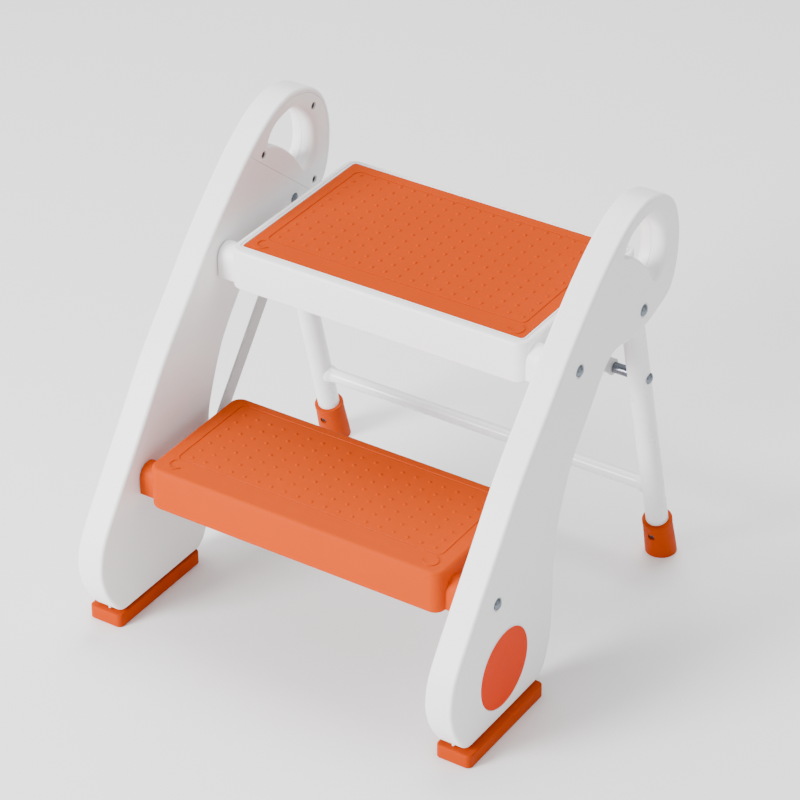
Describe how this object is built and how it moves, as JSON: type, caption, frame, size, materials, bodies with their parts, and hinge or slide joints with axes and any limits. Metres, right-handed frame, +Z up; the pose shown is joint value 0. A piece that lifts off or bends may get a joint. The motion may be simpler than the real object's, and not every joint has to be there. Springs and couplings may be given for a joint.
{
  "type": "step stool",
  "caption": "Folding step stool with moulded side panels and hand grips, an orange lower step, a matted upper step and tubular rear legs.",
  "frame": {"origin": "on the floor, in the middle of the footprint", "axes": "+Z up, +Y from the lower step to the rear legs, X across the stool"},
  "size_m": [0.481, 0.4852, 0.4929],
  "materials": {
    "panel_white": "satin moulded",
    "cover_white": "satin moulded",
    "step_orange": "satin moulded, fine stipple",
    "mat_orange": "matte, embossed grip dots",
    "badge_orange": "satin",
    "pad_orange": "matte",
    "tube_white": "powder coat, gloss",
    "zinc_steel": "zinc plated, bright",
    "bar_steel": "powder coat, light grey",
    "screw_steel": "dark zinc",
    "grey_plastic": "satin"
  },
  "bodies": {
    "side_frame": {"left_panel": "panel_white", "right_panel": "panel_white", "left_handle_cover": "cover_white", "right_handle_cover": "cover_white", "left_cover_screws": "screw_steel", "right_cover_screws": "screw_steel", "left_badge": "badge_orange", "right_badge": "badge_orange", "left_sole_pad": "pad_orange", "right_sole_pad": "pad_orange", "sole_pad_screws": "screw_steel", "lower_axle": "zinc_steel", "upper_axle": "zinc_steel", "axle_washers": "grey_plastic", "left_leg_pivot": "zinc_steel", "right_leg_pivot": "zinc_steel"},
    "lower_tread": {"lower_step": "step_orange", "lower_link_rivets": "zinc_steel"},
    "upper_tread": {"upper_tray": "panel_white", "step_mat": "mat_orange", "upper_link_rivets": "zinc_steel", "stay_rivets": "zinc_steel"},
    "left_link_bar": {"left_link": "bar_steel"},
    "right_link_bar": {"right_link": "bar_steel"},
    "rear_legs": {"left_leg_tube": "tube_white", "right_leg_tube": "tube_white", "crossbar": "tube_white", "left_foot_cap": "pad_orange", "right_foot_cap": "pad_orange", "foot_cap_screws": "screw_steel", "leg_end_plugs": "grey_plastic", "left_stay_pin": "zinc_steel", "right_stay_pin": "zinc_steel"},
    "left_stay_bar": {"left_stay": "bar_steel"},
    "right_stay_bar": {"right_stay": "bar_steel"}
  },
  "joints": [
    {"name": "upper_step_fold", "type": "hinge", "parent": "side_frame", "child": "upper_tread", "pos_m": [0, -0.00444, 0.3605], "axis": [1, 0, 0], "range_deg": [0, 42]},
    {"name": "lower_step_fold", "type": "hinge", "parent": "side_frame", "child": "lower_tread", "pos_m": [0, -0.15644, 0.1665], "axis": [1, 0, 0], "range_deg": [0, 42]},
    {"name": "left_link_pivot", "type": "hinge", "parent": "lower_tread", "child": "left_link_bar", "pos_m": [-0.1914, -0.05044, 0.1535], "axis": [1, 0, 0], "range_deg": [-42, 0]},
    {"name": "right_link_pivot", "type": "hinge", "parent": "lower_tread", "child": "right_link_bar", "pos_m": [0.1914, -0.05044, 0.1535], "axis": [1, 0, 0], "range_deg": [-42, 0]},
    {"name": "leg_swing", "type": "hinge", "parent": "side_frame", "child": "rear_legs", "pos_m": [0, 0.12656, 0.3645], "axis": [1, 0, 0], "range_deg": [-33.6, 0]},
    {"name": "left_stay_pivot", "type": "hinge", "parent": "rear_legs", "child": "left_stay_bar", "pos_m": [-0.185, 0.15296, 0.26598], "axis": [1, 0, 0], "range_deg": [0, 3.78]},
    {"name": "right_stay_pivot", "type": "hinge", "parent": "rear_legs", "child": "right_stay_bar", "pos_m": [0.185, 0.15296, 0.26598], "axis": [1, 0, 0], "range_deg": [0, 3.78]}
  ],
  "couplings": [
    {"joint": "lower_step_fold", "follows": "upper_step_fold", "ratio": 1},
    {"joint": "left_link_pivot", "follows": "upper_step_fold", "ratio": -1},
    {"joint": "right_link_pivot", "follows": "upper_step_fold", "ratio": -1},
    {"joint": "leg_swing", "follows": "upper_step_fold", "ratio": -0.8},
    {"joint": "left_stay_pivot", "follows": "upper_step_fold", "ratio": 0.09},
    {"joint": "right_stay_pivot", "follows": "upper_step_fold", "ratio": 0.09}
  ]
}
